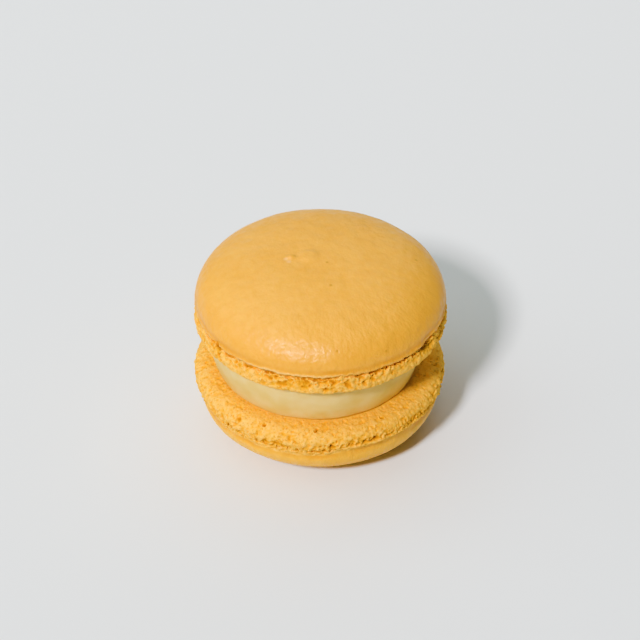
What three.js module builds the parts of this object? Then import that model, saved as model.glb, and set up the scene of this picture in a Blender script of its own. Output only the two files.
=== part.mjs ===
// A passion fruit macaron: two almond meringue shells with a thick layer of cream between them.
// Lengths are millimetres and +Z is up. The origin is the middle of the flat spot it rests on.

import * as THREE from 'three';
import { ImprovedNoise } from 'three/addons/math/ImprovedNoise.js';
import { mergeVertices } from 'three/addons/utils/BufferGeometryUtils.js';

// How far apart the two flat faces of the shells are
const FILLING_THICKNESS = 9.95;

// A shell is drawn from its flat face, at height 0, towards the top of its cap. Round the face runs
// the foot: the band of crags that rose as the shell baked. It bulges out to its belly and pulls in
// to a neck, where a crevice parts it from the lip of the smooth cap.
const LOWER = {
  name: 'lower_shell',
  faceHeight: 13.95,
  upright: false,
  shift: 0,
  edgeRadius: 21.4,
  bellyRadius: 24,
  bellyHeight: 2.1,
  neckRadius: 22.1,
  neckHeight: 4.35,
  capRadius: 22.85,
  capStart: 5.1,
  capHeight: 9.3,
  seed: 5,
};
const UPPER = {
  name: 'upper_shell',
  faceHeight: LOWER.faceHeight + FILLING_THICKNESS,
  upright: true,
  shift: 0.16,
  edgeRadius: 23.0,
  bellyRadius: 24,
  bellyHeight: 0.95,
  neckRadius: 22.7,
  neckHeight: 3.5,
  capRadius: 23.6,
  capStart: 4.05,
  capHeight: 9.6,
  seed: 11,
};

// The cap is a dome with fuller shoulders than an ellipse, which these two powers give.
const SHOULDER_POWER = 2.4;
const CROWN_POWER = 2.42;
// The side of the foot stays full until it turns into the crevice.
const FOOT_FULLNESS = 0.6;
// The lip overhangs the crevice by this much on its underside.
const LIP_OVERHANG = 0.3;

// The cream is wider where the upper shell presses on it, and swells a little between the two.
const FILLING_BOTTOM_RADIUS = 19;
const FILLING_TOP_RADIUS = 20.6;
const FILLING_BULGE = 0.35;
const FILLING_TUCK = 0.25;
const FILLING_SHIFT = -0.58;
const FILLING_SEED = 2;

// Crags of the foot: ruffles in its rim, lumps, and open pores where bubbles burst
const RUFFLES = [
  { waves: 3, depth: 0.08, turn: 0.4 },
  { waves: 8, depth: 0.07, turn: 1.9 },
  { waves: 17, depth: 0.08, turn: 4.1 },
];
const LUMP_SIZE = 1.9;
const LUMP_DEPTH = 0.5;
const PORE_COUNT = 130;
const PORE_RADII = [0.6, 1.2];
const PORE_DEPTHS = [0.3, 0.9];
const DEEPEST_CRAG = 1.1;

// The cap and the cream are smooth, and only slightly out of round.
const SWELL_SIZE = 11;
const SWELL_DEPTH = 0.16;

const SHELL_SEGMENTS = 128;
const EDGE_ROWS = 3;
const SIDE_ROWS = 6;
const CAP_ROWS = 11;
const FILLING_SEGMENTS = 80;
const FILLING_ROWS = 6;

const noise = new ImprovedNoise();

// The points of a profile run from the axis out along its first end, up the side and back to the
// axis. Crag and swell say how much of each kind of unevenness a point takes.
function profilePoint(radius, height, crag = 0, swell = 0) {
  return { radius, height, crag, swell };
}

function footProfile(shell) {
  const points = [];
  for (let row = 0; row <= EDGE_ROWS; row += 1) {
    const turn = (row / EDGE_ROWS) * (Math.PI / 2);
    const radius = THREE.MathUtils.lerp(shell.edgeRadius, shell.bellyRadius, Math.sin(turn));
    points.push(profilePoint(radius, shell.bellyHeight * (1 - Math.cos(turn)), row / EDGE_ROWS));
  }
  for (let row = 1; row <= SIDE_ROWS; row += 1) {
    const turn = (row / SIDE_ROWS) * (Math.PI / 2);
    const fullness = row < SIDE_ROWS ? Math.cos(turn) ** FOOT_FULLNESS : 0;
    const radius = THREE.MathUtils.lerp(shell.neckRadius, shell.bellyRadius, fullness);
    const height = THREE.MathUtils.lerp(shell.bellyHeight, shell.neckHeight, Math.sin(turn));
    points.push(profilePoint(radius, height, 1));
  }
  return points;
}

// The cap is cut flat where the turned-over shell stands, and runs to the axis otherwise.
function capProfile(shell) {
  const room = shell.upright ? shell.capHeight : shell.faceHeight - shell.capStart;
  const end = Math.asin((room / shell.capHeight) ** (CROWN_POWER / 2));
  const points = [];
  for (let row = 0; row < CAP_ROWS; row += 1) {
    const turn = (row / CAP_ROWS) * end;
    const radius = shell.capRadius * Math.cos(turn) ** (2 / SHOULDER_POWER);
    const height = shell.capStart + shell.capHeight * Math.sin(turn) ** (2 / CROWN_POWER);
    points.push(profilePoint(radius, height, 0, Math.cos(turn / end * (Math.PI / 2))));
  }
  if (!shell.upright) {
    const spotRadius = shell.capRadius * Math.cos(end) ** (2 / SHOULDER_POWER);
    points.push(profilePoint(spotRadius, shell.faceHeight));
  }
  points.push(profilePoint(0, shell.capStart + room));
  return points;
}

function shellProfile(shell) {
  const lipHeight = (shell.neckHeight + shell.capStart) / 2;
  return [
    profilePoint(0, 0),
    ...footProfile(shell),
    profilePoint(shell.capRadius - LIP_OVERHANG, lipHeight, 0.3),
    ...capProfile(shell),
  ];
}

function fillingProfile() {
  const points = [profilePoint(0, 0)];
  for (let row = 0; row <= FILLING_ROWS; row += 1) {
    const share = row / FILLING_ROWS;
    const tuck = row === 0 || row === FILLING_ROWS ? FILLING_TUCK : 0;
    const cone = THREE.MathUtils.lerp(FILLING_BOTTOM_RADIUS, FILLING_TOP_RADIUS, share);
    const radius = cone + FILLING_BULGE * Math.sin(share * Math.PI) - tuck;
    points.push(profilePoint(radius, share * FILLING_THICKNESS, 0, Math.sin(share * Math.PI)));
  }
  points.push(profilePoint(0, FILLING_THICKNESS));
  return points;
}

// Bubbles that burst at the side of the foot, spread round it by a seeded draw
function burstPores(shell) {
  const draw = () => THREE.MathUtils.seededRandom();
  const pores = [];
  THREE.MathUtils.seededRandom(shell.seed);
  for (let count = 0; count < PORE_COUNT; count += 1) {
    const angle = draw() * 2 * Math.PI;
    const height = draw() * shell.neckHeight;
    const size = draw() ** 2;
    pores.push({
      centre: aroundAxis(shell.bellyRadius, angle, height),
      radius: THREE.MathUtils.lerp(...PORE_RADII, size),
      depth: THREE.MathUtils.lerp(...PORE_DEPTHS, size),
    });
  }
  return pores;
}

function aroundAxis(radius, angle, height) {
  return new THREE.Vector3(radius * Math.cos(angle), radius * Math.sin(angle), height);
}

function noiseAt(point, size, seed) {
  return noise.noise(point.x / size + seed, point.y / size, point.z / size);
}

// How far a point of the foot stands out from its smooth profile
function cragAt(point, angle, seed, pores) {
  let crag = LUMP_DEPTH * noiseAt(point, LUMP_SIZE, seed);
  for (const ruffle of RUFFLES) {
    crag += ruffle.depth * Math.sin(ruffle.waves * angle + ruffle.turn + seed);
  }
  for (const pore of pores) {
    const reach = point.distanceTo(pore.centre) / pore.radius;
    crag -= pore.depth * Math.exp(-reach * reach);
  }
  return Math.max(crag, -DEEPEST_CRAG);
}

// The way out of the solid at each point of a profile, from the points beside it
function outwards(profile, row) {
  const before = profile[Math.max(row - 1, 0)];
  const after = profile[Math.min(row + 1, profile.length - 1)];
  const along = new THREE.Vector2(after.radius - before.radius, after.height - before.height);
  return new THREE.Vector2(along.y, -along.x).normalize();
}

// Turns a profile round the axis, with its unevenness, into one closed body. It starts at the height
// base and goes up, or down where the body is not upright.
function turnedBody(profile, segments, base, upright, seed, pores = []) {
  const outline = profile.map((point) => new THREE.Vector2(point.radius, point.height));
  const body = new THREE.LatheGeometry(outline, segments);
  const positions = body.getAttribute('position');
  for (let index = 0; index < positions.count; index += 1) {
    const row = index % profile.length;
    const segment = Math.floor(index / profile.length) % segments;
    const angle = (segment / segments) * 2 * Math.PI;
    const { radius, height, crag, swell } = profile[row];
    const smooth = aroundAxis(radius, angle, height);
    const relief = crag * cragAt(smooth, angle, seed, pores)
      + swell * SWELL_DEPTH * noiseAt(smooth, SWELL_SIZE, seed);
    const out = outwards(profile, row).multiplyScalar(relief);
    const bent = aroundAxis(radius + out.x, angle, height + out.y);
    positions.setXYZ(index, bent.x, bent.y, base + (upright ? bent.z : -bent.z));
  }
  return closedBody(body, upright);
}

// Joins the seam and the poles, drops the triangles they leave flat and turns the rest outwards.
function closedBody(body, upright) {
  body.deleteAttribute('normal');
  body.deleteAttribute('uv');
  const joined = mergeVertices(body);
  const corners = joined.getIndex().array;
  const faces = [];
  for (let first = 0; first < corners.length; first += 3) {
    const [a, b, c] = corners.slice(first, first + 3);
    if (a !== b && b !== c && c !== a) {
      faces.push(...(upright ? [a, b, c] : [a, c, b]));
    }
  }
  joined.setIndex(faces);
  joined.computeVertexNormals();
  return joined;
}

function makeShell(shell, colour) {
  const body = turnedBody(
    shellProfile(shell),
    SHELL_SEGMENTS,
    shell.faceHeight,
    shell.upright,
    shell.seed,
    burstPores(shell),
  );
  const crust = new THREE.MeshStandardMaterial({ color: colour, roughness: 0.6, metalness: 0 });
  const mesh = new THREE.Mesh(body, crust);
  mesh.name = shell.name;
  mesh.position.x = shell.shift;
  return mesh;
}

function makeFilling() {
  const body = turnedBody(
    fillingProfile(),
    FILLING_SEGMENTS,
    LOWER.faceHeight,
    true,
    FILLING_SEED,
  );
  const cream = new THREE.MeshStandardMaterial({ color: '#e3cf9a', roughness: 0.45, metalness: 0 });
  const mesh = new THREE.Mesh(body, cream);
  mesh.name = 'filling';
  mesh.position.x = FILLING_SHIFT;
  return mesh;
}

const macaron = new THREE.Group();
macaron.add(makeShell(LOWER, '#efae4e'));
macaron.add(makeFilling());
macaron.add(makeShell(UPPER, '#f0b45c'));

export default macaron;
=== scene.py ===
# %% [markdown]
# A passion fruit macaron
#
# A macaron is two almond meringue shells with a layer of cream between them. The batter is piped as
# a flat drop. Its skin dries, so that in the oven it can't spread any more, and the batter inside
# rises and breaks out under the skin as a foamy band, the foot. So each shell has two finishes: a
# smooth satin cap, and a rough, porous foot, with a crevice between them.
#
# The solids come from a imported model. It is loaded first, as a frame that never moves, and each fine
# piece made here takes the place of one of its nodes.

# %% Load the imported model
import math
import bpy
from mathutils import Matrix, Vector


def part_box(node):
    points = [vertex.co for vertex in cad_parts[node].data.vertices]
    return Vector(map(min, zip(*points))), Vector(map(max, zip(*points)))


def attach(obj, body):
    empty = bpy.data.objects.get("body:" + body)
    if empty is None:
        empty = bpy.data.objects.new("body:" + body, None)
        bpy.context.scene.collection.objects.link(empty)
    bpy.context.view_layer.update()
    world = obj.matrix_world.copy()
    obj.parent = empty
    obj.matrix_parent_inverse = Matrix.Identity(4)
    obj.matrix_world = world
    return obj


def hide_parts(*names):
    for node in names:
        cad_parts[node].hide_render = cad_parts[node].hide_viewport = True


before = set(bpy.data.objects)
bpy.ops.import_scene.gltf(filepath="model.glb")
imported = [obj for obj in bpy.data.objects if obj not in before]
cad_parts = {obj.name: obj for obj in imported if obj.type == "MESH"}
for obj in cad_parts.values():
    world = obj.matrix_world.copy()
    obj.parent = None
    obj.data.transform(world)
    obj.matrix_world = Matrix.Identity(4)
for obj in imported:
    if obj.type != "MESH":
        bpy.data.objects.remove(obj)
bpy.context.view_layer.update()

from types import SimpleNamespace

import bmesh
import bpy
import numpy as np
from mathutils import Vector

# %% [markdown]
# Sizes
#
# Blender works in metres and a macaron is measured in millimetres, so every length here is a number
# times MM. A shell is drawn from its flat face, at height 0, towards the top of its cap. The upper
# shell goes up from its face, and the lower one goes down from it, because it is turned over.
#
# The outline runs from the edge of the flat face round the belly of the foot to the neck, which is
# the bottom of the crevice, and then over the cap. Plain numbers say how strong a feature is on that
# shell, since no two shells bake alike.

# %% Name the sizes of the two shells
MM = 0.001

LOWER = SimpleNamespace(
    name="lower_crust", face=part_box("lower_shell")[1].z, away=-1, shift=0,
    point_gap=0.5 * MM, seed=3.0,
    # The outline.
    fine_radius=18.4 * MM, edge_radius=21.4 * MM,
    belly_radius=23.8 * MM, belly_height=2.1 * MM, fullness=0.45,
    neck_radius=23.0 * MM, neck_height=3.95 * MM, bulge=0.3 * MM,
    cap_radius=22.75 * MM, cap_start=5.1 * MM, cap_height=9.3 * MM,
    # The foam of the foot, and how far it goes past the lip.
    roughness=0.62, openness=0.8, foam_end=0.3 * MM,
    # The crevice.
    crevice=1.15, closed=0.1 * MM, gaps=0.5, ledge=0.6, bead=1.0,
    # The groove and the lip, and how strong their painted shade and painted highlight are.
    groove_rise=0.65 * MM, groove_reach=1.1 * MM, groove_depth=0.22 * MM, groove_shade_strength=0.85,
    lip_depth=0.0, lip_highlight_strength=0.0,
    # The skin.
    baked=0.0, tones=("#fdc352", "#f9bd47"),
)
UPPER = SimpleNamespace(
    name="upper_crust", face=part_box("upper_shell")[0].z, away=1, shift=0.16 * MM,
    point_gap=0.44 * MM, seed=8.0,
    fine_radius=20.4 * MM, edge_radius=23.0 * MM,
    belly_radius=23.8 * MM, belly_height=0.95 * MM, fullness=0.72,
    neck_radius=22.8 * MM, neck_height=3.35 * MM, bulge=0.0,
    cap_radius=23.6 * MM, cap_start=4.05 * MM, cap_height=9.6 * MM,
    roughness=0.8, openness=0.9, foam_end=0.0,
    crevice=0.75, closed=0.55 * MM, gaps=0.35, ledge=0.2, bead=0.0,
    # The groove and the lip, and how strong their painted shade and painted highlight are.
    groove_rise=1.0 * MM, groove_reach=0.85 * MM, groove_depth=0.12 * MM, groove_shade_strength=0.85,
    lip_depth=0.1 * MM, lip_highlight_strength=0.62,
    baked=0.2, tones=("#f8bb55", "#f3b44c"),
)
SHELLS = (LOWER, UPPER)
print("faces of the shells at", [round(shell.face / MM, 2) for shell in SHELLS], "mm")

# %% [markdown]
# Marks that the real one has
#
# Most of the surface is chance, but a few marks can be told apart on this macaron: the nub that the
# nozzle left on the cap and the light on it, some pores, torn places and one large knob in the foot,
# and small dark spots in the skin. Each is given by its place in millimetres, how far it reaches and
# how far it goes out or in.

# %% List the marks
SHOULDER_POWER, CROWN_POWER = 2.4, 2.42


def mark(x, y, z, reach, depth=0.0):
    return SimpleNamespace(place=Vector((x, y, z)) * MM, reach=reach * MM, depth=depth * MM)


def on_cap(shell, x, y, reach, depth=0.0):
    """A mark on the cap, whose height follows from the formula of the dome."""
    share = math.hypot(x, y) * MM / shell.cap_radius
    height = shell.cap_start + shell.cap_height * (1 - share ** SHOULDER_POWER) ** (1 / CROWN_POWER)
    return mark(x, y, (shell.face + shell.away * height) / MM, reach, depth)


UPPER.marks = (
    on_cap(UPPER, -5.5, 0.4, 0.95, 0.42),
    on_cap(UPPER, -2.1, 0.6, 2.4, 0.34),
    mark(-2.9, -23.3, 26.2, 1.9, -0.4),
    mark(-19.0, -13.3, 27.6, 1.6, -0.5),
    mark(19.7, -12.3, 27.4, 3.0, -0.35),
    mark(13.0, -19.8, 24.4, 0.5, -1.1),
)
LOWER.marks = (
    mark(-10.3, -20.0, 13.9, 0.5, -1.1),
    mark(-0.4, -21.4, 13.9, 0.42, -0.85),
    mark(-0.7, -21.9, 13.8, 0.42, -0.85),
    mark(11.6, -18.0, 13.95, 0.45, -0.9),
    mark(-14.9, -17.6, 12.9, 0.8, -0.5),
    mark(-16.4, -15.4, 13.3, 0.45, -0.8),
    mark(12.2, -20.5, 11.4, 0.95, 0.42),
)
UPPER.spots = (
    on_cap(UPPER, 1.4, -1.3, 0.35),
    on_cap(UPPER, 2.1, -7.8, 0.4),
    on_cap(UPPER, 18.1, 2.7, 0.4),
    mark(3.2, -21.5, 32.65, 0.32),
    mark(12.2, -19.5, 31.0, 0.32),
)
UPPER.glints = (
    on_cap(UPPER, -6.3, -0.1, 0.6),
    on_cap(UPPER, -5.7, -0.9, 0.6),
)
LOWER.spots = LOWER.glints = ()
print(len(UPPER.marks + LOWER.marks), "marks and", len(UPPER.spots + UPPER.glints), "spots")

# %% [markdown]
# The outline of a shell
#
# A shell is round, so one half outline says it all. Its curves are formulas: the foot is two quarter
# arcs and the cap is a dome with fuller shoulders than an ellipse. Drawing the points by eye would
# also work, but a formula can be followed at any fineness.

# %% Space points evenly
def resample(points, gap):
    """The same line, with its points an even gap apart."""
    points = np.array(points, float)
    lengths = np.linalg.norm(np.diff(points, axis=0), axis=1)
    along = np.concatenate([[0], np.cumsum(lengths)])
    places = np.linspace(0, along[-1], max(2, round(along[-1] / gap) + 1))
    return [(np.interp(p, along, points[:, 0]), np.interp(p, along, points[:, 1])) for p in places]


print("a line of 5 mm gets", len(resample([(0, 0), (5 * MM, 0)], LOWER.point_gap)), "points")

# %% Draw the foot and the underside of the lip
CURVE_POINTS = 400


def foot_outline(shell):
    """From the edge of the flat face, round the belly of the foot, to the bottom of the crevice."""
    turns = np.linspace(0, math.pi / 2, CURVE_POINTS)
    edge = shell.edge_radius + (shell.belly_radius - shell.edge_radius) * np.sin(turns)
    rise = shell.belly_height * (1 - np.cos(turns))
    side = shell.neck_radius + (shell.belly_radius - shell.neck_radius) * np.cos(turns) ** shell.fullness
    side[-1] = shell.neck_radius
    climb = shell.belly_height + (shell.neck_height - shell.belly_height) * np.sin(turns)
    return [*zip(edge, rise), *zip(side[1:], climb[1:])]


def under_lip_outline(shell):
    """From the bottom of the crevice to the tip of the lip."""
    shares = np.linspace(0, 1, CURVE_POINTS)
    radius = shell.neck_radius + (shell.cap_radius - shell.neck_radius) * shares
    radius = radius + shell.bulge * np.sin(shares * math.pi)
    climb = shell.neck_height + (shell.cap_start - shell.neck_height) * shares
    return [*zip(radius, climb)]


print("the feet reach", [round(max(foot_outline(shell))[0] / MM, 2) for shell in SHELLS], "mm out")

# %% Draw the cap and join the parts
def cap_outline(shell):
    """From the tip of the lip over the dome, to the axis or to the flat spot that carries it."""
    room = shell.cap_height if shell.away > 0 else shell.face - shell.cap_start
    end = math.asin(min(1, (room / shell.cap_height) ** (CROWN_POWER / 2)))
    turns = np.linspace(0, end, CURVE_POINTS)
    radius = shell.cap_radius * np.maximum(np.cos(turns), 0) ** (2 / SHOULDER_POWER)
    height = shell.cap_start + shell.cap_height * np.sin(turns) ** (2 / CROWN_POWER)
    return [*zip(radius, height)]


def shell_outline(shell):
    """The whole half outline, from the middle of the face round to the top of the cap."""
    gap = shell.point_gap
    outline = [(0, 0)] + resample([(shell.fine_radius, 0), (shell.edge_radius, 0)], gap)
    for part in (foot_outline(shell), under_lip_outline(shell), cap_outline(shell)):
        outline += resample(part, gap)[1:]
    if outline[-1][0] > gap:
        outline.append((0, outline[-1][1]))
    outline[-1] = (0, outline[-1][1])
    return [Vector((radius, 0, shell.face + shell.away * height)) for radius, height in outline]


print("points of the outlines", [len(shell_outline(shell)) for shell in SHELLS])

# %% [markdown]
# Turning the outline round the axis
#
# Spin does what a potter's wheel does. The outline starts as a plane that is merged to one vertex,
# and each further point is extruded from the last. Screw would turn it too, as a modifier, but Spin
# is the tool that one uses by hand. A full turn lays the last outline on the first, and the points
# on the axis on each other, so doubles are merged before the normals are turned outwards.

# %% Draw an outline and spin it
STEPS_AROUND = 360
MERGE_GAP = 0.001 * MM


def turned_piece(name, outline):
    """A closed round body from a half outline whose ends are on the axis."""
    bpy.ops.object.select_all(action="DESELECT")
    bpy.ops.mesh.primitive_plane_add(size=MM)
    piece = bpy.context.object
    piece.name = piece.data.name = name
    bpy.ops.object.mode_set(mode="EDIT")
    bpy.ops.mesh.select_mode(type="VERT")
    bpy.ops.mesh.merge(type="CENTER")
    bpy.ops.transform.translate(value=outline[0])
    for before, after in zip(outline, outline[1:]):
        bpy.ops.mesh.extrude_region_move(TRANSFORM_OT_translate={"value": after - before})
    bpy.ops.mesh.select_all(action="SELECT")
    bpy.ops.mesh.spin(steps=STEPS_AROUND, angle=2 * math.pi, center=(0, 0, 0), axis=(0, 0, 1))
    bpy.ops.mesh.select_all(action="SELECT")
    bpy.ops.mesh.remove_doubles(threshold=MERGE_GAP)
    bpy.ops.mesh.normals_make_consistent(inside=False)
    bpy.ops.object.mode_set(mode="OBJECT")
    bpy.ops.object.shade_smooth()
    print(name, len(piece.data.vertices), "points", len(piece.data.polygons), "faces")
    return piece


lower_crust = turned_piece("lower_crust", shell_outline(LOWER))
upper_crust = turned_piece("upper_crust", shell_outline(UPPER))

# %% [markdown]
# More faces where the crust is craggy
#
# The cap is smooth, so its faces can stay wide. The foot, the crevice and the lip need faces small
# enough to carry a pore of half a millimetre, so only those are selected and subdivided.

# %% Subdivide the foot
FOOT_CUTS = 2
LIP_BAND = 1.5 * MM


def select_only(piece):
    bpy.ops.object.select_all(action="DESELECT")
    piece.select_set(True)
    bpy.context.view_layer.objects.active = piece


def subdivide_foot(piece, shell):
    """Cuts each face of the foot, the crevice and the lip into nine."""
    select_only(piece)
    bpy.ops.object.mode_set(mode="EDIT")
    bpy.ops.mesh.select_all(action="DESELECT")
    bpy.ops.mesh.select_mode(type="FACE")
    mesh = bmesh.from_edit_mesh(piece.data)
    for face in mesh.faces:
        middle = face.calc_center_median()
        height = (middle.z - shell.face) * shell.away
        outside = math.hypot(middle.x, middle.y) > shell.fine_radius
        face.select_set(outside and height < shell.cap_start + LIP_BAND)
    bmesh.update_edit_mesh(piece.data)
    bpy.ops.mesh.subdivide(number_cuts=FOOT_CUTS, ngon=False)
    bpy.ops.object.mode_set(mode="OBJECT")
    print(piece.name, len(piece.data.polygons), "faces")


subdivide_foot(lower_crust, LOWER)
subdivide_foot(upper_crust, UPPER)

# %% [markdown]
# Adding nodes
#
# Both the relief of the crust and the finishes are made of nodes. One small function adds a node,
# gives it its settings and fills its inputs. An input is a plain value, a node or one of its outputs.
# The four limits of a Map Range node are given as two pairs, From and To. Plain pairs further down,
# such as HOLLOWS, are such limits too: at the first value something starts, at the second it is full.

# %% Add a node
MATH, VECTOR_MATH, RANGE = "ShaderNodeMath", "ShaderNodeVectorMath", "ShaderNodeMapRange"
NOISE, CELLS, MIX = "ShaderNodeTexNoise", "ShaderNodeTexVoronoi", "ShaderNodeMix"
SPLIT, JOIN = "ShaderNodeSeparateXYZ", "ShaderNodeCombineXYZ"
SMOOTH = {"interpolation_type": "SMOOTHSTEP"}


def add(tree, kind, inputs=None, operation=None, **settings):
    """Adds a node with its settings, and sets or links its inputs."""
    node = tree.nodes.new(kind)
    if operation:
        node.operation = operation
    for name, value in settings.items():
        setattr(node, name, value)
    for name, value in (inputs or {}).items():
        if isinstance(value, bpy.types.Node):
            value = next(output for output in value.outputs if output.enabled)
        if isinstance(value, bpy.types.NodeSocket):
            tree.links.new(value, node.inputs[name])
        elif name in ("From", "To"):
            node.inputs[name + " Min"].default_value = value[0]
            node.inputs[name + " Max"].default_value = value[1]
        else:
            node.inputs[name].default_value = value
    return node


def new_relief(name):
    """An empty Geometry Nodes group, with its geometry coming in and going out."""
    tree = bpy.data.node_groups.new(name, "GeometryNodeTree")
    tree.interface.new_socket("Geometry", in_out="INPUT", socket_type="NodeSocketGeometry")
    tree.interface.new_socket("Geometry", in_out="OUTPUT", socket_type="NodeSocketGeometry")
    return tree


def build(part, maker):
    """Builds one part of the relief of both shells, and keeps it by its name."""
    for shell in SHELLS:
        setattr(shell, part, maker(shell))
        print(f"{shell.name}.{part} makes it {len(shell.tree.nodes)} nodes")


for shell in SHELLS:
    shell.tree = new_relief(shell.name + "_relief")
print("empty reliefs", [shell.tree.name for shell in SHELLS])

# %% [markdown]
# Where a point is on the shell
#
# Every pattern needs to know how far a point is from the axis, and how high it is above the flat
# face. Some patterns follow the shell: ribs and wrinkles run from its face or its top to its edge, so
# they are read from coordinates that are squeezed along that way, which draws a pattern out along it.
# And a few features are on one side only, which a dot product with the way outwards tells.

# %% Read the way round the shell
RIM_RADIUS = 23 * MM


def polar(tree, place):
    """The distance of a point from the axis, and the way that leads outwards there."""
    flat = add(tree, VECTOR_MATH, {0: place, 1: (1, 1, 0)}, "MULTIPLY")
    radius = add(tree, VECTOR_MATH, {0: flat}, "LENGTH").outputs["Value"]
    return radius, add(tree, VECTOR_MATH, {0: flat}, "NORMALIZE")


def drawn_out(tree, outward, up, radius, squeeze, seed=0.0):
    """Coordinates in which a pattern comes out longer along the shell than round it."""
    along = add(tree, MATH, {0: up, 1: radius}, "SUBTRACT")
    along = add(tree, MATH, {0: along, 1: squeeze}, "MULTIPLY")
    along = add(tree, JOIN, {"X": seed, "Z": along})
    return add(tree, VECTOR_MATH, {0: outward, 1: (RIM_RADIUS,) * 3, 2: along}, "MULTIPLY_ADD")


def towards(tree, outward, way, full, end, least, most):
    """Goes from the least to the most as the shell turns to face one way."""
    way = (math.cos(way), math.sin(way), 0)
    facing = add(tree, VECTOR_MATH, {0: outward, 1: way}, "DOT_PRODUCT").outputs["Value"]
    turn = (math.cos(end), math.cos(full))
    return add(tree, RANGE, {"Value": facing, "From": turn, "To": (least, most)}, **SMOOTH)


print("once round the rim is", round(2 * math.pi * RIM_RADIUS / MM), "mm")

# %% [markdown]
# At the front right of the lower shell, a smooth bead of foam lies between the crevice and the lip.
# There the crevice is that much further from the lip, so heights from the neck are read higher.

# %% Measure each point of a shell
RIB_SQUEEZE = 0.9
WARP_SIZE, WARP_REACH, NOISE_MIDDLE = 0.9 * MM, 0.5 * MM, 0.5
BEAD_WAY, BEAD_FULL, BEAD_END = math.radians(-58), math.radians(13), math.radians(33)
BEAD_RISE = 1.2 * MM


def measured_points(shell):
    """Radius, height and pattern coordinates of each point."""
    tree = shell.tree
    place = add(tree, "GeometryNodeInputPosition")
    up = add(tree, SPLIT, {0: place}).outputs["Z"]
    radius, outward = polar(tree, place)
    height = add(tree, MATH, {0: up, 1: shell.away, 2: -shell.face * shell.away}, "MULTIPLY_ADD")
    seeded = add(tree, VECTOR_MATH, {0: place, 1: (shell.seed, 0, 0)}, "ADD")
    rim = drawn_out(tree, outward, height, radius, RIB_SQUEEZE, shell.seed)
    warp = add(tree, NOISE, {"Vector": seeded, "Scale": 1 / WARP_SIZE, "Detail": 2.0}).outputs["Color"]
    warp = add(tree, VECTOR_MATH, {0: warp, 1: (NOISE_MIDDLE,) * 3}, "SUBTRACT")
    bend = {0: warp, 1: (WARP_REACH,) * 3}
    warped = add(tree, VECTOR_MATH, {**bend, 2: seeded}, "MULTIPLY_ADD")
    warped_rim = add(tree, VECTOR_MATH, {**bend, 2: rim}, "MULTIPLY_ADD")
    beaded = towards(tree, outward, BEAD_WAY, BEAD_FULL, BEAD_END, 0.0, shell.bead)
    from_neck = add(tree, MATH, {0: beaded, 1: BEAD_RISE, 2: height}, "MULTIPLY_ADD")
    from_neck = add(tree, MATH, {0: from_neck, 1: shell.neck_height}, "SUBTRACT")
    return SimpleNamespace(place=place, up=up, radius=radius, outward=outward, height=height,
                           seeded=seeded, rim=rim, warped=warped, warped_rim=warped_rim,
                           beaded=beaded, from_neck=from_neck)


build("at", measured_points)

# %% [markdown]
# The crumb of the foot
#
# The foot is foam that has set: knobs and ribs of batter, and pores where bubbles burst. Sculpting it
# by hand would take days, and a bump map would leave the edge of the foot a clean circle. So nodes
# move the real surface. Each kind of crag is a pattern with a real size in millimetres. Its middle is
# the value of the pattern that leaves the outline where it is.

# %% Build the knobs and ribs
RUFFLE_SIZE, RUFFLE_DEPTH, RUFFLE_MIDDLE = 3.6 * MM, 0.55 * MM, 0.6
RIB_SIZE, RIB_DEPTH = 1.0 * MM, 0.4 * MM
KNOB_SIZE, KNOB_DEPTH, KNOB_MIDDLE = 1.0 * MM, 0.65 * MM, 0.45
GRAIN_SIZE, GRAIN_DEPTH = 0.4 * MM, 0.17 * MM


def roughened(tree, height, *noises):
    """A height with noises added, each given by its coordinates, size, depth and detail."""
    for place, size, depth, detail in noises:
        noise = add(tree, NOISE, {"Vector": place, "Scale": 1 / size, "Detail": detail})
        height = add(tree, MATH, {0: noise, 1: depth, 2: height}, "MULTIPLY_ADD")
    return height


def crag_relief(shell):
    """Ruffles, ribs, knobs and grain, from the widest to the finest."""
    tree, at = shell.tree, shell.at
    crag = roughened(tree, -RUFFLE_MIDDLE * RUFFLE_DEPTH, (at.rim, RUFFLE_SIZE, RUFFLE_DEPTH, 1.0),
                     (at.warped_rim, RIB_SIZE, RIB_DEPTH, 1.0))
    knob = add(tree, CELLS, {"Vector": at.warped, "Scale": 1 / KNOB_SIZE, "Smoothness": 0.4},
               feature="SMOOTH_F1")
    crag = add(tree, MATH, {0: knob, 1: -KNOB_DEPTH, 2: crag}, "MULTIPLY_ADD")
    crag = roughened(tree, crag, (at.seeded, GRAIN_SIZE, GRAIN_DEPTH, 2.0))
    middle = NOISE_MIDDLE * (RIB_DEPTH + GRAIN_DEPTH) - KNOB_MIDDLE * KNOB_DEPTH
    crag = add(tree, MATH, {0: crag, 1: middle}, "SUBTRACT")
    return add(tree, MATH, {0: crag, 1: shell.roughness}, "MULTIPLY")


build("crag", crag_relief)

# %% [markdown]
# Round the foot, calm stretches take turns with open ones that have hollows. Small round pores are
# all over it. A pattern of cells gives each pore its own middle and its own chance, and the third with
# the lowest chance stays closed.

# %% Open hollows and pores
PATCH_SIZE, PATCHES = 5 * MM, (0.35, 0.62)
UNEVEN, CALM_OPENNESS = (0.65, 1.3), 0.35
HOLLOW_SIZE, HOLLOW_DEPTH, HOLLOWS = 1.3 * MM, 0.6 * MM, (0.54, 0.66)
PORE_SIZE, PORE_DEPTH, CLOSED_PORES = 0.62 * MM, 0.5 * MM, 0.32
PORE_RADII, PORE_SLOPE = (0.12, 0.42), 0.2


def patches(tree, place, size, band, detail, to=(0.0, 1.0), **settings):
    """Goes from the first to the second value of a pair where a noise rises through its band."""
    noise = add(tree, NOISE, {"Vector": place, "Scale": 1 / size, "Detail": detail})
    return add(tree, RANGE, {"Value": noise, "From": band, "To": to}, **settings)


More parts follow.
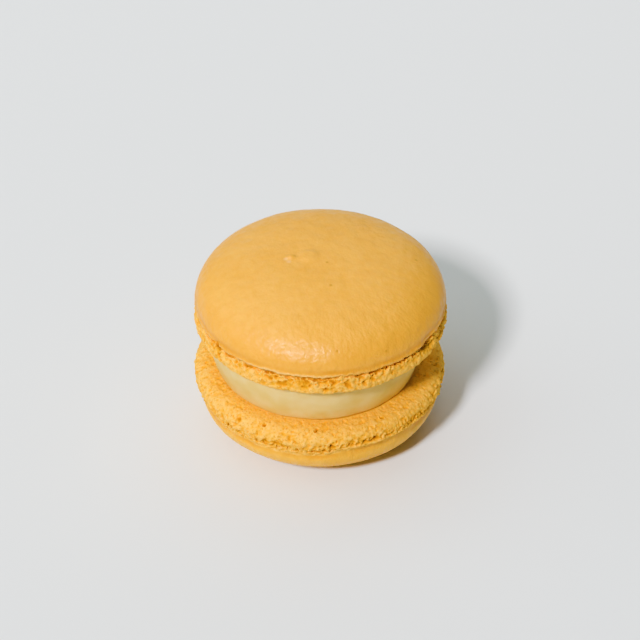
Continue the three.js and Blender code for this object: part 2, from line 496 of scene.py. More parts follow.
def open_foam(shell):
    """The crags, stronger in some stretches than in others, with hollows and pores."""
    tree, at = shell.tree, shell.at
    patch = add(tree, NOISE, {"Vector": at.rim, "Scale": 1 / PATCH_SIZE, "Detail": 1.0})
    uneven = add(tree, RANGE, {"Value": patch, "From": PATCHES, "To": UNEVEN})
    crag = add(tree, MATH, {0: shell.crag, 1: uneven}, "MULTIPLY")
    openness = (CALM_OPENNESS * shell.openness, shell.openness)
    open_share = add(tree, RANGE, {"Value": patch, "From": PATCHES, "To": openness}, **SMOOTH)
    hollow = patches(tree, at.warped, HOLLOW_SIZE, HOLLOWS, 1.5, **SMOOTH)
    hollow = add(tree, MATH, {0: hollow, 1: open_share}, "MULTIPLY")
    crag = add(tree, MATH, {0: hollow, 1: -HOLLOW_DEPTH, 2: crag}, "MULTIPLY_ADD")
    return add(tree, MATH, {0: burst_pores(shell), 1: crag}, "ADD")


def burst_pores(shell):
    """Small round pores, where the skin of a bubble broke."""
    tree = shell.tree
    pore = add(tree, CELLS, {"Vector": shell.at.warped, "Scale": 1 / PORE_SIZE}, feature="F1")
    chance = add(tree, SPLIT, {0: pore.outputs["Color"]}).outputs["X"]
    reach = add(tree, RANGE, {"Value": chance, "From": (CLOSED_PORES, 1.0), "To": PORE_RADII})
    reach = add(tree, MATH, {0: reach, 1: pore.outputs["Distance"]}, "SUBTRACT")
    picked = add(tree, MATH, {0: chance, 1: CLOSED_PORES}, "GREATER_THAN")
    pit = add(tree, RANGE, {"Value": reach, "From": (0.0, PORE_SLOPE)}, **SMOOTH)
    pit = add(tree, MATH, {0: pit, 1: picked}, "MULTIPLY")
    return add(tree, MATH, {0: pit, 1: -PORE_DEPTH}, "MULTIPLY")


build("crumb", open_foam)

# %% [markdown]
# The crevice under the lip
#
# Where the foot broke out, it tore away from the skin. What is left is a row of burst bubbles with
# thin walls between them. In some stretches the foam closed the row again, and in others a wider gap
# tore open beside it. A pattern of cells gives just that: pockets in the cells, and walls along their
# borders.

# %% Build the pockets and walls
POCKET_SIZE, POCKET_DEPTH, SHALLOWEST = 0.95 * MM, 0.95 * MM, 0.25
POCKET_BAND, WALLS = (-1.15 * MM, -0.2 * MM), (0.03, 0.3)
CLOSED_SIZE, CLOSED_PLACES = 2.4 * MM, (0.46, 0.66)


def pocket_relief(shell):
    """Pockets that go in close to the neck, and foam that comes out where the row closed."""
    tree, at = shell.tree, shell.at
    cells = {"Vector": at.warped, "Scale": 1 / POCKET_SIZE}
    pocket = add(tree, CELLS, cells, feature="DISTANCE_TO_EDGE")
    pocket = add(tree, RANGE, {"Value": pocket, "From": WALLS}, **SMOOTH)
    chance = add(tree, CELLS, cells, feature="F1").outputs["Color"]
    chance = add(tree, SPLIT, {0: chance}).outputs["X"]
    deepest = -POCKET_DEPTH * shell.crevice
    depth = add(tree, RANGE, {"Value": chance, "To": (SHALLOWEST * deepest, deepest)})
    pocket = add(tree, MATH, {0: pocket, 1: depth}, "MULTIPLY")
    closed = patches(tree, at.rim, CLOSED_SIZE, CLOSED_PLACES, 1.0, (0.0, shell.closed), **SMOOTH)
    row = add(tree, MATH, {0: pocket, 1: closed}, "ADD")
    by_neck = add(tree, RANGE, {"Value": at.from_neck, "From": POCKET_BAND}, **SMOOTH)
    return add(tree, MATH, {0: row, 1: by_neck}, "MULTIPLY")


build("row", pocket_relief)

# %% Add the gaps and the bead
GAP_SIZE, GAP_DEPTH, GAPS = 1.2 * MM, 0.6 * MM, (0.5, 0.62)
GAP_BAND = (-2.0 * MM, -0.9 * MM)
ROW_END = (0.3 * MM, 0.75 * MM)
BEAD_BAND, BEAD_DEPTH = (0.2 * MM, 0.8 * MM), 0.3 * MM


def gap_and_bead_relief(shell):
    """The row of pockets with gaps beside it, and the bead between it and the lip."""
    tree, at = shell.tree, shell.at
    by_gap = add(tree, RANGE, {"Value": at.from_neck, "From": GAP_BAND}, **SMOOTH)
    gap = patches(tree, at.rim, GAP_SIZE, GAPS, 1.0, (0.0, -GAP_DEPTH * shell.gaps), **SMOOTH)
    crag = add(tree, MATH, {0: gap, 1: by_gap, 2: shell.row}, "MULTIPLY_ADD")
    row = add(tree, RANGE, {"Value": at.from_neck, "From": ROW_END, "To": (1.0, 1.0 - shell.bead)}, **SMOOTH)
    crag = add(tree, MATH, {0: crag, 1: row}, "MULTIPLY")
    bead = add(tree, RANGE, {"Value": at.from_neck, "From": BEAD_BAND, "To": (0.0, BEAD_DEPTH)}, **SMOOTH)
    return add(tree, MATH, {0: bead, 1: at.beaded, 2: crag}, "MULTIPLY_ADD")


build("torn", gap_and_bead_relief)

# %% [markdown]
# The skin
#
# The cap is smooth but not machined. It swells a little over uneven batter, and its ground almond
# shows as faint dimples. Round its edge, where the skin ends, runs a thin lip, with a soft groove
# above it that comes and goes, painted darker as the shade in it. On the lower shell only the groove
# shows. On the upper one the lip is painted paler as a highlight, strongest at the front, a little to
# the left, where the light comes from.

# %% Build the lip and the groove
LIP_RISE, LIP_REACH = 0.35 * MM, 0.36 * MM
EDGE_PATCH_SIZE, EDGE_PATCHES, FAINTEST = 7 * MM, (0.38, 0.6), 0.4
HIGHLIGHT_WAY, HIGHLIGHT_FULL, HIGHLIGHT_END = math.radians(-103), math.radians(10), math.radians(30)
HIGHLIGHT_LEAST = 0.25


def lip_and_groove(shell):
    """How far the lip stands out and the groove goes in, and a tone from -1 to 1 that paints shade in the
    groove and a highlight on the lip.
    """
    tree, at = shell.tree, shell.at
    patch = patches(tree, at.seeded, EDGE_PATCH_SIZE, EDGE_PATCHES, 2.0, (FAINTEST, 1.0), **SMOOTH)
    bands = []
    for rise, reach in ((shell.groove_rise, shell.groove_reach), (LIP_RISE, LIP_REACH)):
        off = add(tree, MATH, {0: at.height, 1: shell.cap_start + rise}, "SUBTRACT")
        off = add(tree, MATH, {0: off}, "ABSOLUTE")
        bands.append(add(tree, RANGE, {"Value": off, "From": (0.0, reach), "To": (1.0, 0.0)}, **SMOOTH))
    groove, lip = bands
    groove = add(tree, MATH, {0: groove, 1: patch}, "MULTIPLY")
    # The lip's painted highlight is strongest where the lip faces the light.
    pale = towards(tree, at.outward, HIGHLIGHT_WAY, HIGHLIGHT_FULL, HIGHLIGHT_END, HIGHLIGHT_LEAST, 1.0)
    lit_lip_share = add(tree, MATH, {0: lip, 1: pale}, "MULTIPLY")
    tone = add(tree, MATH, {0: lit_lip_share, 1: groove}, "SUBTRACT")
    relief = add(tree, MATH, {0: groove, 1: -shell.groove_depth}, "MULTIPLY")
    relief = add(tree, MATH, {0: lip, 1: shell.lip_depth, 2: relief}, "MULTIPLY_ADD")
    return SimpleNamespace(relief=relief, tone=tone)


build("edge", lip_and_groove)

# %% Build the skin
SWELL_SIZE, SWELL_DEPTH, SWELL_MIDDLE = 10 * MM, 0.3 * MM, 0.6
DIMPLE_SIZE, DIMPLE_DEPTH = 2.0 * MM, 0.16 * MM
SKIN_FADE, FLOOR_FADE = 0.3 * MM, 2.0 * MM


def skin_relief(shell):
    """Swell, dimples, lip and groove of the skin, but none at the flat spot on the floor."""
    tree, at = shell.tree, shell.at
    middle = -SWELL_MIDDLE * SWELL_DEPTH - NOISE_MIDDLE * DIMPLE_DEPTH
    skin = roughened(tree, middle, (at.seeded, SWELL_SIZE, SWELL_DEPTH, 1.0),
                     (at.seeded, DIMPLE_SIZE, DIMPLE_DEPTH, 2.0))
    skin = add(tree, MATH, {0: skin, 1: shell.edge.relief}, "ADD")
    skin_band = (shell.cap_start, shell.cap_start + SKIN_FADE)
    for height, band in ((at.height, skin_band), (at.up, (0.0, FLOOR_FADE))):
        share = add(tree, RANGE, {"Value": height, "From": band})
        skin = add(tree, MATH, {0: skin, 1: share}, "MULTIPLY")
    return skin


build("skin", skin_relief)

# %% [markdown]
# The torn edge
#
# The skin tore off in an uneven line. So the lip wanders up and down, and all that lies close to it
# goes along: a vertical move that is full at the lip and dies out above and below it. Moving only the
# edge would squeeze the faces beside it.

# %% Let the lip wander
LIP_WANDER_SIZE, LIP_WANDER = 2.6 * MM, 0.8 * MM
TEAR_SIZE, TEAR = 0.85 * MM, 0.75 * MM
WANDER_BAND = (0.3 * MM, 2.3 * MM)
BEAD_LIFT = 0.9 * MM


def lip_wander(shell):
    """How far each point goes up or down with the lip."""
    tree, at = shell.tree, shell.at
    middle = -NOISE_MIDDLE * (LIP_WANDER + TEAR)
    wander = roughened(tree, middle, (at.rim, LIP_WANDER_SIZE, LIP_WANDER, 2.0),
                       (at.rim, TEAR_SIZE, TEAR, 1.0))
    wander = add(tree, MATH, {0: at.beaded, 1: -BEAD_LIFT, 2: wander}, "MULTIPLY_ADD")
    off = add(tree, MATH, {0: at.height, 1: shell.cap_start}, "SUBTRACT")
    off = add(tree, MATH, {0: off}, "ABSOLUTE")
    near = add(tree, RANGE, {"Value": off, "From": WANDER_BAND, "To": (shell.away, 0.0)}, **SMOOTH)
    move = add(tree, MATH, {0: wander, 1: near}, "MULTIPLY")
    return add(tree, JOIN, {"Z": move})


build("wander", lip_wander)

# %% [markdown]
# Putting the relief together
#
# The crumb covers the foot and, more gently, the ring of the flat face that the cream leaves bare. On
# the lower shell it goes on a little past the lip, which makes that edge knobbly. The underside of a
# lip is thin, so past the neck the crags are weaker, or the pockets would come through it.

# %% Say how rough the foam is
FACE_SHARE, EDGE_SHARE = 0.4, 0.48
FACE_FADE = 0.8 * MM
EDGE_START, EDGE_END = 0.9 * MM, 0.4 * MM
FOOT_BAND = (0.2 * MM, 1.8 * MM)
FOAM_FADE = (-0.02 * MM, 0.1 * MM)


def foam_share(shell):
    """How rough the foam is at each point, from the bare ring of the face to the lip."""
    tree, at = shell.tree, shell.at
    face_band = (shell.fine_radius, shell.fine_radius + FACE_FADE)
    edge_band = (shell.edge_radius - EDGE_START, shell.edge_radius + EDGE_END)
    foam_top = shell.cap_start + shell.foam_end
    skin_band = (foam_top + FOAM_FADE[0], foam_top + FOAM_FADE[1])
    share = add(tree, RANGE, {"Value": at.radius, "From": face_band, "To": (0.0, FACE_SHARE)})
    steps = ((at.radius, edge_band, EDGE_SHARE - FACE_SHARE), (at.height, FOOT_BAND, 1 - EDGE_SHARE))
    for value, band, more in steps:
        step = add(tree, RANGE, {"Value": value, "From": band, "To": (0.0, more)}, **SMOOTH)
        share = add(tree, MATH, {0: share, 1: step}, "ADD")
    below_skin = add(tree, RANGE, {"Value": at.height, "From": skin_band, "To": (1.0, 0.0)})
    return add(tree, MATH, {0: share, 1: below_skin}, "MULTIPLY")


build("foam", foam_share)

# %% Join the crumb, the crevice and the marks
FACE_SINK = 0.1 * MM
LEDGE_BAND = (0.0, 0.25 * MM)
CRAG_FADE = 0.2 * MM
MARK_CORE = 0.3


def marks_relief(shell):
    """The nub and lump of the cap, and the single pores, knob and torn places of the foot."""
    tree = shell.tree
    total = 0.0
    for one in shell.marks:
        off = add(tree, VECTOR_MATH, {0: shell.at.place, 1: one.place}, "DISTANCE").outputs["Value"]
        reach = (MARK_CORE * one.reach, one.reach)
        move = add(tree, RANGE, {"Value": off, "From": reach, "To": (one.depth, 0.0)}, **SMOOTH)
        total = add(tree, MATH, {0: move, 1: total}, "ADD")
    return total


def foot_relief(shell):
    """How far each point of the foot goes out or in."""
    tree, at = shell.tree, shell.at
    crag = add(tree, MATH, {0: shell.crumb, 1: shell.foam}, "MULTIPLY")
    face_band = (shell.edge_radius - EDGE_START, shell.edge_radius)
    sink = add(tree, RANGE, {"Value": at.radius, "From": face_band, "To": (-FACE_SINK, 0.0)})
    crag = add(tree, MATH, {0: sink, 1: shell.foam, 2: crag}, "MULTIPLY_ADD")
    crag = add(tree, MATH, {0: crag, 1: shell.torn}, "ADD")
    foam_top = shell.cap_start + shell.foam_end
    skin_band = (foam_top - CRAG_FADE, foam_top)
    open_share = add(tree, RANGE, {"Value": at.from_neck, "From": LEDGE_BAND, "To": (1.0, shell.ledge)})
    below_skin = add(tree, RANGE, {"Value": at.height, "From": skin_band, "To": (1.0, 0.0)})
    open_share = add(tree, MATH, {0: open_share, 1: below_skin}, "MULTIPLY")
    crag = add(tree, MATH, {0: crag, 1: open_share}, "MULTIPLY")
    return add(tree, MATH, {0: crag, 1: marks_relief(shell)}, "ADD")


build("foot", foot_relief)

# %% [markdown]
# Three attributes are stored for the finish: how much a point is crumb, how deep in the crumb it lies,
# from which the finish paints shade in the pores, and where it is on the lip and the groove, from
# which it paints a highlight on the lip and shade in the groove. Then each point goes out along its
# normal, and the modifier is applied, so that the relief is real geometry.

# %% Roughen the shells
DEEPEST = 1.05 * MM


def shell_relief(shell):
    """Stores the attributes and moves the points."""
    tree = shell.tree
    relief = add(tree, MATH, {0: shell.foot, 1: shell.skin}, "ADD")
    crumb = add(tree, RANGE, {"Value": shell.foam, "From": (0.0, FACE_SHARE)})
    pit = add(tree, RANGE, {"Value": shell.foot, "From": (0.0, -DEEPEST)})
    normal = add(tree, "GeometryNodeInputNormal")
    offset = add(tree, VECTOR_MATH, {0: normal, "Scale": relief}, "SCALE")
    offset = add(tree, VECTOR_MATH, {0: offset, 1: shell.wander}, "ADD")
    stored = add(tree, "NodeGroupInput")
    for name, value in (("crumb", crumb), ("pit", pit), ("lip", shell.edge.tone)):
        inputs = {"Geometry": stored, "Name": name, "Value": value}
        stored = add(tree, "GeometryNodeStoreNamedAttribute", inputs, data_type="FLOAT", domain="POINT")
    moved = add(tree, "GeometryNodeSetPosition", {"Geometry": stored, "Offset": offset})
    add(tree, "NodeGroupOutput", {"Geometry": moved})
    return tree


def apply_relief(piece, tree, shift):
    """Applies the relief, then moves the piece sideways to where it lies on the real one."""
    select_only(piece)
    modifier = piece.modifiers.new("relief", "NODES")
    modifier.node_group = tree
    bpy.ops.object.modifier_apply(modifier=modifier.name)
    bpy.ops.object.mode_set(mode="EDIT")
    bpy.ops.mesh.select_all(action="SELECT")
    bpy.ops.transform.translate(value=(shift, 0, 0))
    bpy.ops.object.mode_set(mode="OBJECT")
    corners = np.array([corner[:] for corner in piece.bound_box]) / MM
    print(piece.name, "from", corners.min(0).round(2), "to", corners.max(0).round(2), "mm")


apply_relief(lower_crust, shell_relief(LOWER), LOWER.shift)
apply_relief(upper_crust, shell_relief(UPPER), UPPER.shift)

# %% [markdown]
# The cream
#
# The cream is piped on the lower shell and pressed out by the upper one. It is a short drum, wider at
# its top, with a soft bulge and tucked edges. It is spun like the shells, and a gentle relief of the
# same kind keeps it from being machine round.

# %% Draw the cream
CREAM = SimpleNamespace(
    shift=-0.58 * MM, point_gap=0.42 * MM,
    bottom_radius=19.0 * MM, top_radius=20.6 * MM, inner_share=0.6,
    bulge=0.35 * MM, tuck=0.6 * MM, tuck_height=0.5 * MM,
    wave_size=6 * MM, wave_depth=0.5 * MM,
    smear_size=1.6 * MM, smear_depth=0.06 * MM,
)


def cream_outline():
    """The half outline of the cream, from the lower face to the upper one."""
    bottom, top = LOWER.face, UPPER.face
    shares = np.linspace(0, 1, CURVE_POINTS)
    heights = bottom + (top - bottom) * shares
    from_end = np.minimum(heights - bottom, top - heights)
    tuck = CREAM.tuck * np.clip(1 - from_end / CREAM.tuck_height, 0, 1) ** 2
    radii = CREAM.bottom_radius + (CREAM.top_radius - CREAM.bottom_radius) * shares
    radii = radii + CREAM.bulge * np.sin(shares * math.pi) - tuck
    side = resample([*zip(radii, heights)], CREAM.point_gap)
    inner = [(0, bottom), (CREAM.bottom_radius * CREAM.inner_share, bottom)]
    outer = [(CREAM.top_radius * CREAM.inner_share, top), (0, top)]
    return [Vector((radius, 0, height)) for radius, height in inner + side + outer]


cream_layer = turned_piece("cream_layer", cream_outline())

# %% Make the side of the cream uneven
CREAM_SIDE = (CREAM.bottom_radius * 0.9, CREAM.bottom_radius * 0.97)


def cream_relief():
    """Wide waves and small smears, on the side of the cream alone."""
    tree = new_relief("cream_relief")
    place = add(tree, "GeometryNodeInputPosition")
    radius, outward = polar(tree, place)
    side = add(tree, RANGE, {"Value": radius, "From": CREAM_SIDE})
    swell = roughened(tree, -NOISE_MIDDLE * CREAM.wave_depth, (place, CREAM.wave_size, CREAM.wave_depth, 0.0),
                      (place, CREAM.smear_size, CREAM.smear_depth, 1.0))
    swell = add(tree, MATH, {0: swell, 1: side}, "MULTIPLY")
    offset = add(tree, VECTOR_MATH, {0: outward, "Scale": swell}, "SCALE")
    moved = add(tree, "GeometryNodeSetPosition", {"Geometry": add(tree, "NodeGroupInput"), "Offset": offset})
    add(tree, "NodeGroupOutput", {"Geometry": moved})
    return tree


apply_relief(cream_layer, cream_relief(), CREAM.shift)

# %% [markdown]
# Colours
#
# Colours are read as sRGB, the way a screen shows them, but a renderer adds up light, which needs
# linear values. One function turns a hex colour into a linear one, and another starts a material.

# %% Make colours linear and start a material
def linear(hex_colour):
    channels = [int(hex_colour[at:at + 2], 16) / 255 for at in (1, 3, 5)]
    return (*[c / 12.92 if c <= 0.04045 else ((c + 0.055) / 1.055) ** 2.4 for c in channels], 1.0)


def new_material(name):
    """A material without nodes, its tree, and the place of a point on its piece."""
    material = bpy.data.materials.new(name)
    material.use_nodes = True
    tree = material.node_tree
    tree.nodes.clear()
    return material, tree, add(tree, "ShaderNodeTexCoord").outputs["Object"]


print("a screen's middle grey is", round(linear("#808080")[0], 3), "of white light")

# %% [markdown]
# Baked meringue
#
# The crust is whipped egg white, sugar and ground almond, dried to a skin and then baked. The skin of
# the cap is satin: sugar closes its surface, but fine almond grains still show as faint mottling, and
# low on the side that faces the camera it dried in fine wrinkles. These are too shallow to change an
# outline, so a bump does for them. The grain is drawn coarser than ground almond is, so that it shows.

# %% Wrinkle the skin
SKIN_GRAIN_SIZE, SKIN_GRAIN_DEPTH = 0.45 * MM, 0.045 * MM
SKIN_PATCH_SIZE, SKIN_PATCH_DEPTH = 2.2 * MM, 0.2 * MM
WRINKLE_SIZE, WRINKLE_DEPTH = 1.05 * MM, 0.2 * MM
WRINKLE_WAY, WRINKLE_SQUEEZE = math.radians(-86), 0.65
WRINKLE_SIDE, WRINKLE_RADII = (0.15, 0.6), (12 * MM, 18 * MM)


def down_the_shell(tree, place, squeeze):
    """The distance from the axis, and coordinates that draw a pattern out down the shell."""
    radius, outward = polar(tree, place)
    up = add(tree, SPLIT, {0: place}).outputs["Z"]
    return radius, drawn_out(tree, outward, up, radius, squeeze)


def skin_height(tree, place):
    """The fine relief of the skin: wrinkles, almond grain and shallow patches."""
    radius, down = down_the_shell(tree, place, WRINKLE_SQUEEZE)
    wrinkle = add(tree, NOISE, {"Vector": down, "Scale": 1 / WRINKLE_SIZE, "Detail": 3.0})
    way = (math.cos(WRINKLE_WAY) / RIM_RADIUS, math.sin(WRINKLE_WAY) / RIM_RADIUS, 0)
    side = add(tree, VECTOR_MATH, {0: place, 1: way}, "DOT_PRODUCT").outputs["Value"]
    side = add(tree, RANGE, {"Value": side, "From": WRINKLE_SIDE, "To": (0.0, WRINKLE_DEPTH)}, **SMOOTH)
    low = add(tree, RANGE, {"Value": radius, "From": WRINKLE_RADII}, **SMOOTH)
    side = add(tree, MATH, {0: side, 1: low}, "MULTIPLY")
    height = add(tree, MATH, {0: wrinkle, 1: side}, "MULTIPLY")
    return roughened(tree, height, (place, SKIN_GRAIN_SIZE, SKIN_GRAIN_DEPTH, 1.0),
                     (place, SKIN_PATCH_SIZE, SKIN_PATCH_DEPTH, 1.0))


print("wrinkles about", round(WRINKLE_SIZE / MM, 2), "mm apart")

# %% [markdown]
# The foot is dry broken foam, so it is matt. Its colour is painted from pale on its crests to deeper
# yellow and orange in its pores, by how deep a point lies: painted shade and bounced light, as light
# bounces from wall to wall there. Faint streaks of batter run down it, it has pinholes finer than any
# face, drawn as dark dots whose darkness is painted shade, and near the cream its fat soaked in,
# which deepens the colour.

# %% Colour the foam
# Past the crest, the ramp is painted shade by depth in the crumb.
CREST_COLOUR, WALL_COLOUR, PIT_SHADE_COLOUR, DEEP_SHADE_COLOUR = "#fcc661", "#f5b23a", "#d89412", "#ba7410"
FOAM_COLOURS = ((0.0, CREST_COLOUR), (0.35, WALL_COLOUR), (0.58, PIT_SHADE_COLOUR), (0.86, DEEP_SHADE_COLOUR))
STREAK_SIZE, STREAK_SQUEEZE = 0.55 * MM, 0.75
STREAKS, STREAK_DEPTHS = (0.3, 0.7), (-0.12, 0.19)
SOAKED_RADII, SOAKED_SHARE = (20.0 * MM, 22.4 * MM), 0.06
PINHOLE_SIZE, PINHOLES, PINHOLE_SHARE = 0.45 * MM, (0.58, 0.72), 0.5
PINHOLE_SHADE_COLOUR = "#bb7a14"


def foam_colour(tree, place, pit):
    """Pale crests, with yellow walls and orange pits painted in as shade by depth, and dark pinholes."""
    radius, down = down_the_shell(tree, place, STREAK_SQUEEZE)
    streak = patches(tree, down, STREAK_SIZE, STREAKS, 2.0, STREAK_DEPTHS)
    soaked = add(tree, RANGE, {"Value": radius, "From": SOAKED_RADII, "To": (SOAKED_SHARE, 0.0)}, **SMOOTH)
    depth = add(tree, MATH, {0: pit, 1: streak}, "ADD")
    depth = add(tree, MATH, {0: depth, 1: soaked}, "ADD")
    foam = add(tree, "ShaderNodeValToRGB", {"Fac": depth})
    stops = foam.color_ramp.elements
    for position, colour in FOAM_COLOURS[1:-1]:
        stops.new(position)
    for stop, (position, colour) in zip(stops, FOAM_COLOURS):
        stop.position = position
        stop.color = linear(colour)
    # The pinholes are real, but their dark colour is painted shade in each hole.
    pinhole_shade = patches(tree, place, PINHOLE_SIZE, PINHOLES, 1.0, (0.0, PINHOLE_SHARE))
    return add(tree, MIX, {"Factor": pinhole_shade, "A": foam, "B": linear(PINHOLE_SHADE_COLOUR)}, data_type="RGBA")


print("foam from", CREST_COLOUR, "to", DEEP_SHADE_COLOUR)

# %% [markdown]
# The skin is coloured in layers, as a painter glazes: a cloudy pale orange, a deeper baked rim,
# painted shade in the groove, a painted highlight on the lip, and at last the dark spots and the
# painted highlight on the nub.

# %% Colour the skin
# The groove colour is painted shade in the groove, and also deepens the baked rim. The lip colour is a
# painted highlight.
GROOVE_COLOUR, LIP_HIGHLIGHT_COLOUR = "#e89f29", "#fdd07c"
SPOT_COLOUR, GLINT_COLOUR = "#b87a18", "#ffcf98"
SPOT_STRENGTH, GLINT_STRENGTH, SPOT_CORE = 0.75, 0.4, 0.2
BAKED_RADII = (19.5 * MM, 23.4 * MM)
CLOUD_SIZE, CLOUDS = 8 * MM, (0.75, 1.25)


def skin_colour(tree, place, mottle, shell):
    """Lays each colour over those before it, by its share."""
    clouds = add(tree, NOISE, {"Vector": place, "Scale": 1 / CLOUD_SIZE, "Detail": 2.0})
    clouds = add(tree, MATH, {0: clouds, 1: mottle}, "ADD")
    clouds = add(tree, RANGE, {"Value": clouds, "From": CLOUDS})
    radius = polar(tree, place)[0]
    baked = add(tree, RANGE, {"Value": radius, "From": BAKED_RADII, "To": (0.0, shell.baked)}, **SMOOTH)
    edge = add(tree, "ShaderNodeAttribute", attribute_name="lip").outputs["Fac"]
    # Painted shade in the groove and a painted highlight on the lip.
    groove = add(tree, RANGE, {"Value": edge, "From": (0.0, -1.0), "To": (0.0, shell.groove_shade_strength)})
    lip = add(tree, RANGE, {"Value": edge, "From": (0.0, 1.0), "To": (0.0, shell.lip_highlight_strength)})
    layers = [(clouds, shell.tones[1]), (baked, GROOVE_COLOUR), (groove, GROOVE_COLOUR), (lip, LIP_HIGHLIGHT_COLOUR)]
    marked = [(spot, SPOT_COLOUR, SPOT_STRENGTH) for spot in shell.spots]
    marked += [(glint, GLINT_COLOUR, GLINT_STRENGTH) for glint in shell.glints]
    for spot, colour, strength in marked:
        off = add(tree, VECTOR_MATH, {0: place, 1: spot.place}, "DISTANCE").outputs["Value"]
        reach = (SPOT_CORE * spot.reach, spot.reach)
        layers.append((add(tree, RANGE, {"Value": off, "From": reach, "To": (strength, 0.0)}), colour))
    skin = linear(shell.tones[0])
    for share, colour in layers:
        skin = add(tree, MIX, {"Factor": share, "A": skin, "B": linear(colour)}, data_type="RGBA")
    return skin


print("skin of", [shell.tones for shell in SHELLS])

# %% [markdown]
# One material carries both finishes, and the stored attribute says which of them a point has. Light
# goes a little way into meringue, and comes out warm.

# %% Make the crust's finish
MOTTLE_SIZE, MOTTLES = 1.3 * MM, (0.35, 0.65)
SATIN_ROUGHNESS, FOAM_ROUGHNESS = (0.36, 0.48), 0.9
FOAM_GRAIN_SIZE, FOAM_GRAIN_DEPTH = 0.4 * MM, 0.08 * MM


def crust_material(shell):
    """Satin skin and matt foam, mixed by how much a point is crumb."""
    material, tree, place = new_material("baked_meringue_" + shell.name)
    stored = [add(tree, "ShaderNodeAttribute", attribute_name=name) for name in ("crumb", "pit")]
    crumb, pit = [node.outputs["Fac"] for node in stored]
    mottle = add(tree, NOISE, {"Vector": place, "Scale": 1 / MOTTLE_SIZE, "Detail": 4.0})
    skin = skin_colour(tree, place, mottle, shell)
    foam = foam_colour(tree, place, pit)
    colour = add(tree, MIX, {"Factor": crumb, "A": skin, "B": foam}, data_type="RGBA")
    satin = add(tree, RANGE, {"Value": mottle, "From": MOTTLES, "To": SATIN_ROUGHNESS})
    roughness = add(tree, MIX, {"Factor": crumb, "A": satin, "B": FOAM_ROUGHNESS})
    foam_grain = roughened(tree, 0.0, (place, FOAM_GRAIN_SIZE, FOAM_GRAIN_DEPTH, 2.0))
    grain = add(tree, MIX, {"Factor": crumb, "A": skin_height(tree, place), "B": foam_grain})
    bump = add(tree, "ShaderNodeBump", {"Height": grain, "Distance": 1.0, "Strength": 1.0})
    shader = add(tree, "ShaderNodeBsdfPrincipled", {
        "Base Color": colour, "Roughness": roughness, "Normal": bump, "IOR": 1.45, "Specular IOR Level": 0.45,
        "Subsurface Weight": 0.12, "Subsurface Scale": 0.5 * MM, "Subsurface Radius": (1.0, 0.6, 0.25)})
    add(tree, "ShaderNodeOutputMaterial", {"Surface": shader})
    print(material.name, "has", len(tree.nodes), "nodes")
    return material


lower_crust.data.materials.append(crust_material(LOWER))
upper_crust.data.materials.append(crust_material(UPPER))

# %% [markdown]
# Whipped cream filling
#
# The filling is butter cream with passion fruit juice: pale yellow, smooth and fatty, so light goes
# into it a little and it shines softly. Where it touches the lower shell, a thin darker band is
# painted on as the shade of the join.

# %% Make the cream's finish
CREAM_TONES, JOIN_SHADE_COLOUR = ("#e1c67e", "#dcbd6d"), "#b97b1c"
CREAM_CLOUD_SIZE, CREAM_CLOUDS = 3.5 * MM, (0.35, 0.65)
CREAM_GRAIN_SIZE, CREAM_GRAIN_DEPTH = 0.8 * MM, 0.02 * MM
CREAM_ROUGHNESS = (0.4, 0.52)
JOIN_SHADE_BAND, JOIN_SHADE_STRENGTH = (LOWER.face + 0.15 * MM, LOWER.face + 0.5 * MM), 0.9


def cream_material():
    """Two close tones in soft clouds, with a thin band of painted shade along the bottom."""
    material, tree, place = new_material("passion_fruit_cream")
    clouds = patches(tree, place, CREAM_CLOUD_SIZE, CREAM_CLOUDS, 1.0)
    up = add(tree, SPLIT, {0: place}).outputs["Z"]
    # A darker band along the bottom is painted shade where the cream meets the lower shell.
    join_shade = add(tree, RANGE, {"Value": up, "From": JOIN_SHADE_BAND, "To": (JOIN_SHADE_STRENGTH, 0.0)})
    colour = linear(CREAM_TONES[0])
    for share, tone in ((clouds, CREAM_TONES[1]), (join_shade, JOIN_SHADE_COLOUR)):
        colour = add(tree, MIX, {"Factor": share, "A": colour, "B": linear(tone)}, data_type="RGBA")
    grain = add(tree, NOISE, {"Vector": place, "Scale": 1 / CREAM_GRAIN_SIZE, "Detail": 2.0})
    bump = add(tree, "ShaderNodeBump", {"Height": grain, "Distance": CREAM_GRAIN_DEPTH, "Strength": 1.0})
    roughness = add(tree, RANGE, {"Value": grain, "To": CREAM_ROUGHNESS})
    shader = add(tree, "ShaderNodeBsdfPrincipled", {
        "Base Color": colour, "Roughness": roughness, "Normal": bump, "IOR": 1.45, "Specular IOR Level": 0.5,
        "Subsurface Weight": 0.22, "Subsurface Scale": 1.0 * MM, "Subsurface Radius": (1.0, 0.7, 0.35)})
    add(tree, "ShaderNodeOutputMaterial", {"Surface": shader})
    print(material.name, "has", len(tree.nodes), "nodes")
    return material


cream_layer.data.materials.append(cream_material())

# %% [markdown]
# Taking the places of the solids
#
# Each fine piece rides on the one body and replaces its solid.

# %% Place the pieces in the frame
for piece, node, slot in ((lower_crust, "lower_shell", "lower_crust"), (cream_layer, "filling", "cream"),
                          (upper_crust, "upper_shell", "upper_crust")):
    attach(piece, "root")
    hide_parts(node)
    print(piece.name, "replaces", node)

# %% [markdown]
# Floor, light and camera
#
# The macaron stands on a plain pale floor. One soft light comes from the front left, a little above
# the camera. Large soft boxes at the left, behind and above fill its shadows, and nothing lights it
# from the right, so that side stays deeper.

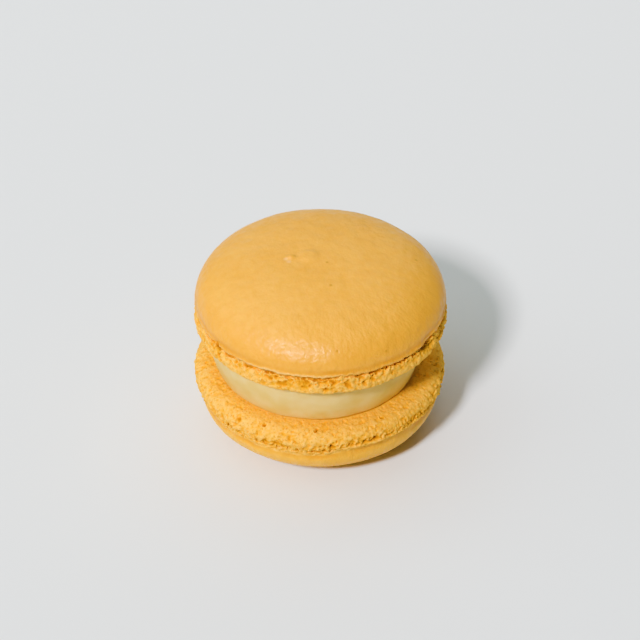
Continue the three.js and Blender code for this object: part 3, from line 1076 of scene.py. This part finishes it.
# %% Make the floor
FLOOR_SIZE, FLOOR_COLOUR = 3.0, "#e0e0e0"
bpy.ops.object.select_all(action="DESELECT")
bpy.ops.mesh.primitive_plane_add(size=FLOOR_SIZE)
floor = bpy.context.object
floor.name = "floor"
floor_material = bpy.data.materials.new("pale_floor")
floor_material.use_nodes = True
floor_shader = floor_material.node_tree.nodes["Principled BSDF"]
floor_shader.inputs["Base Color"].default_value = linear(FLOOR_COLOUR)
floor_shader.inputs["Roughness"].default_value = 0.6
floor_shader.inputs["Specular IOR Level"].default_value = 0.2
floor.data.materials.append(floor_material)
print("floor", FLOOR_SIZE, "m wide")

# %% Light it
AIM = Vector((0.09, 0, 22.75)) * MM
KEY_LEFT, KEY_ELEVATION = 26, 42.2
KEY_STRENGTH, KEY_SPREAD = 2.53, math.radians(8)
KEY_COLOUR = (1.0, 0.985, 1.01)
FILL_COLOUR = (0.895, 0.975, 0.965)
BOX_SIZE, BOX_DISTANCE = 1.2, 1.0
BOXES = {"left_box": (90, 35, 0.685), "back_box": (180, 35, 0.515), "top_box": (0, 90, 0.54)}


def place_light(light, left, elevation):
    """Aims a light at the macaron, from so many degrees left of the camera and up."""
    left, elevation = math.radians(left), math.radians(elevation)
    level = math.cos(elevation)
    way = Vector((-math.sin(left) * level, -math.cos(left) * level, math.sin(elevation)))
    thing = bpy.data.objects.new(light.name, light)
    thing.location = AIM + way * BOX_DISTANCE
    thing.rotation_euler = way.to_track_quat("Z", "Y").to_euler()
    bpy.context.scene.collection.objects.link(thing)


key_light = bpy.data.lights.new("key_light", "SUN")
key_light.energy, key_light.angle, key_light.color = KEY_STRENGTH, KEY_SPREAD, KEY_COLOUR
place_light(key_light, KEY_LEFT, KEY_ELEVATION)
for name, (left, elevation, radiance) in BOXES.items():
    soft_box = bpy.data.lights.new(name, "AREA")
    soft_box.shape, soft_box.size, soft_box.color = "SQUARE", BOX_SIZE, FILL_COLOUR
    soft_box.energy = math.pi * BOX_SIZE ** 2 * radiance
    place_light(soft_box, left, elevation)
    print(name, round(soft_box.energy, 2), "watts")

# %% Give the room a faint light
ROOM_STRENGTH = 0.045
world = bpy.data.worlds.new("pale_room")
world.use_nodes = True
background = world.node_tree.nodes["Background"]
background.inputs["Color"].default_value = (*FILL_COLOUR, 1.0)
background.inputs["Strength"].default_value = ROOM_STRENGTH
bpy.context.scene.world = world
print("room light", ROOM_STRENGTH)

# %% [markdown]
# The film curve
#
# A camera doesn't show light evenly. It deepens the shadows and softens the brightest tones, and that
# is what makes the shaded side of the crust look so rich. The view's curve does the same here. Its
# film-like tone keeps the hue of a colour while it gets darker or paler.

# %% Set the tones of the picture
FILM_CURVE = ((0.02, 0.0095), (0.06, 0.045), (0.15, 0.19), (0.35, 0.49), (0.6, 0.67), (0.8, 0.8))
WHITE_POINT = 0.93
view = bpy.context.scene.view_settings
view.view_transform = "Standard"
view.use_curve_mapping = True
view.curve_mapping.tone = "FILMLIKE"
curve = view.curve_mapping.curves[3]
curve.points[-1].location = (1.0, WHITE_POINT)
for light_in, light_out in FILM_CURVE:
    curve.points.new(light_in, light_out)
view.curve_mapping.update()
print("curve", [tuple(round(value, 3) for value in point.location) for point in curve.points])

# %% Aim the camera
CAMERA_ELEVATION = math.radians(38.5)
SENSOR_WIDTH, LENS = 36.0, 202.5
FRAME_WIDTH = 120.75 * MM
distance = FRAME_WIDTH * LENS / SENSOR_WIDTH
back = Vector((0, -math.cos(CAMERA_ELEVATION), math.sin(CAMERA_ELEVATION)))
camera_data = bpy.data.cameras.new("camera")
camera_data.sensor_width, camera_data.lens = SENSOR_WIDTH, LENS
camera = bpy.data.objects.new("camera", camera_data)
camera.location = AIM + back * distance
camera.rotation_euler = back.to_track_quat("Z", "Y").to_euler()
bpy.context.scene.collection.objects.link(camera)
bpy.context.scene.camera = camera
print("camera", round(distance / MM), "mm away")
